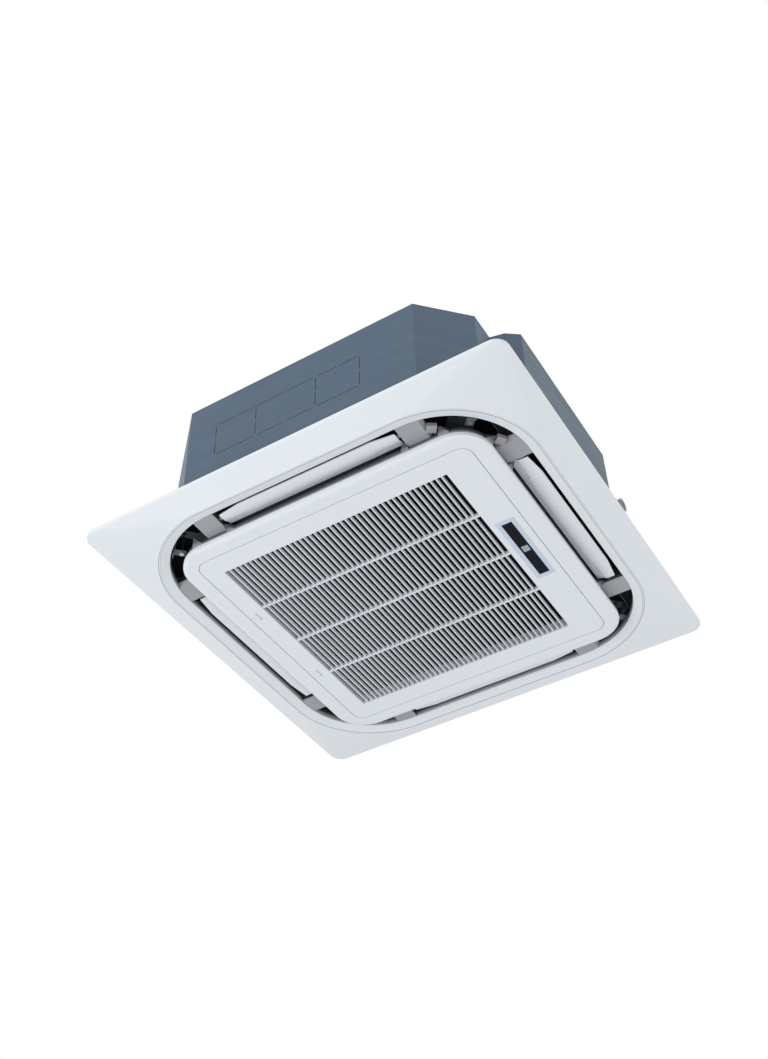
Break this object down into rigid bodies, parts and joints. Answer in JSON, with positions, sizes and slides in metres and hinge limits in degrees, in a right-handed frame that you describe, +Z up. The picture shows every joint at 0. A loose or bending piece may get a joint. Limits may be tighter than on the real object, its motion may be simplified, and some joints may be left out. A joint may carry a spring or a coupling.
{
  "type": "ceiling cassette air conditioner",
  "caption": "Ceiling cassette air conditioner: square panel with a hinged slatted intake grille, swinging louvres on all sides, and a steel body with fan and coil above.",
  "frame": {"origin": "the unit's centre on the ceiling plane, which is the upper edge of the panel's rim", "axes": "+Z up into the ceiling, -Y to the face with the knock-outs, +X to the display"},
  "size_m": [0.95, 0.95, 0.3363],
  "materials": {
    "casing_steel": "satin",
    "casing_lid": "satin",
    "galvanised": "satin",
    "blue_grey_steel": "satin",
    "screw_steel": "satin",
    "black_foam": "matte",
    "grey_foam": "matte",
    "grey_plastic": "matte",
    "float_plastic": "matte",
    "fin_metal": "satin",
    "copper_tube": "satin",
    "nut_brass": "satin",
    "motor_shell": "satin",
    "black_rubber": "matte",
    "board_green": "matte",
    "cream_plastic": "matte",
    "white_panel": "satin",
    "cover_grey": "matte",
    "bezel_blue": "gloss",
    "window_black": "gloss",
    "lens_grey": "gloss",
    "filter_grey": "matte",
    "filter_net": "matte"
  },
  "bodies": {
    "unit": {"casing_front": "casing_steel", "casing_rear": "casing_steel", "casing_top": "casing_lid", "casing_screws": "screw_steel", "hanger_brackets": "galvanised", "side_insulation": "black_foam", "top_insulation": "black_foam", "drain_pan": "black_foam", "drain_plug": "grey_plastic", "bell_mouth": "grey_plastic", "corner_brackets": "blue_grey_steel", "coil_fins": "fin_metal", "coil_end_plates": "galvanised", "coil_bends": "copper_tube", "gas_pipe": "copper_tube", "liquid_pipe": "copper_tube", "flare_nuts": "nut_brass", "pipe_plate": "galvanised", "drain_pump": "grey_plastic", "drain_outlet": "grey_plastic", "float_stem": "grey_plastic", "motor_bracket": "galvanised", "motor_rubbers": "black_rubber", "motor_nuts": "screw_steel", "fan_motor": "motor_shell", "control_box": "galvanised", "control_box_cover": "galvanised", "control_board": "board_green", "terminal_block": "cream_plastic", "outer_panel": "white_panel", "panel_lugs": "galvanised", "panel_screws": "screw_steel", "panel_seal": "black_foam", "duct_foam": "grey_foam", "centre_frame": "white_panel", "frame_screws": "screw_steel", "bridge_covers": "cover_grey", "louvre_motors": "cream_plastic", "louvre_bushes": "cream_plastic", "hinge_pins": "screw_steel"},
    "fan_rotor": {"turbo_fan": "grey_plastic", "motor_shaft": "screw_steel", "fan_nut": "screw_steel"},
    "front_blade": {"louvre_front": "white_panel"},
    "right_blade": {"louvre_right": "white_panel"},
    "back_blade": {"louvre_back": "white_panel"},
    "left_blade": {"louvre_left": "white_panel"},
    "grille": {"grille_frame": "white_panel", "grille_slats": "white_panel", "display_bezel": "bezel_blue", "display_window": "window_black", "receiver_lens": "lens_grey", "display_board": "board_green"},
    "filter": {"filter_frame": "filter_grey", "filter_mesh": "filter_net"},
    "front_latch": {"latch_front": "white_panel"},
    "back_latch": {"latch_back": "white_panel"},
    "float": {"drain_float": "float_plastic"}
  },
  "joints": [
    {"name": "fan_spin", "type": "hinge", "parent": "unit", "child": "fan_rotor", "pos_m": [0, 0, 0.16], "axis": [0, 0, 1], "continuous": true},
    {"name": "louvre_front_swing", "type": "hinge", "parent": "unit", "child": "front_blade", "pos_m": [0, -0.368, -0.006], "axis": [1, 0, 0], "range_deg": [-15, 40]},
    {"name": "louvre_right_swing", "type": "hinge", "parent": "unit", "child": "right_blade", "pos_m": [0.368, 0, -0.006], "axis": [0, 1, 0], "range_deg": [-15, 40]},
    {"name": "louvre_back_swing", "type": "hinge", "parent": "unit", "child": "back_blade", "pos_m": [0, 0.368, -0.006], "axis": [-1, 0, 0], "range_deg": [-15, 40]},
    {"name": "louvre_left_swing", "type": "hinge", "parent": "unit", "child": "left_blade", "pos_m": [-0.368, 0, -0.006], "axis": [0, -1, 0], "range_deg": [-15, 40]},
    {"name": "grille_open", "type": "hinge", "parent": "unit", "child": "grille", "pos_m": [0.3266, 0, -0.0363], "axis": [0, -1, 0], "range_deg": [0, 85]},
    {"name": "latch_front_slide", "type": "slide", "parent": "grille", "child": "front_latch", "axis": [1, 0, 0], "range_m": [0, 0.006], "stiffness_N_per_m": 400, "springref_m": -0.002},
    {"name": "latch_back_slide", "type": "slide", "parent": "grille", "child": "back_latch", "axis": [1, 0, 0], "range_m": [0, 0.006], "stiffness_N_per_m": 400, "springref_m": -0.002},
    {"name": "filter_lift", "type": "slide", "parent": "grille", "child": "filter", "axis": [0, 0, 1], "range_m": [0, 0.012]},
    {"name": "float_rise", "type": "slide", "parent": "unit", "child": "float", "axis": [0, 0, 1], "range_m": [0, 0.012]}
  ],
  "couplings": [
    {"joint": "louvre_right_swing", "follows": "louvre_front_swing", "ratio": 1},
    {"joint": "louvre_back_swing", "follows": "louvre_front_swing", "ratio": 1},
    {"joint": "louvre_left_swing", "follows": "louvre_front_swing", "ratio": 1}
  ]
}
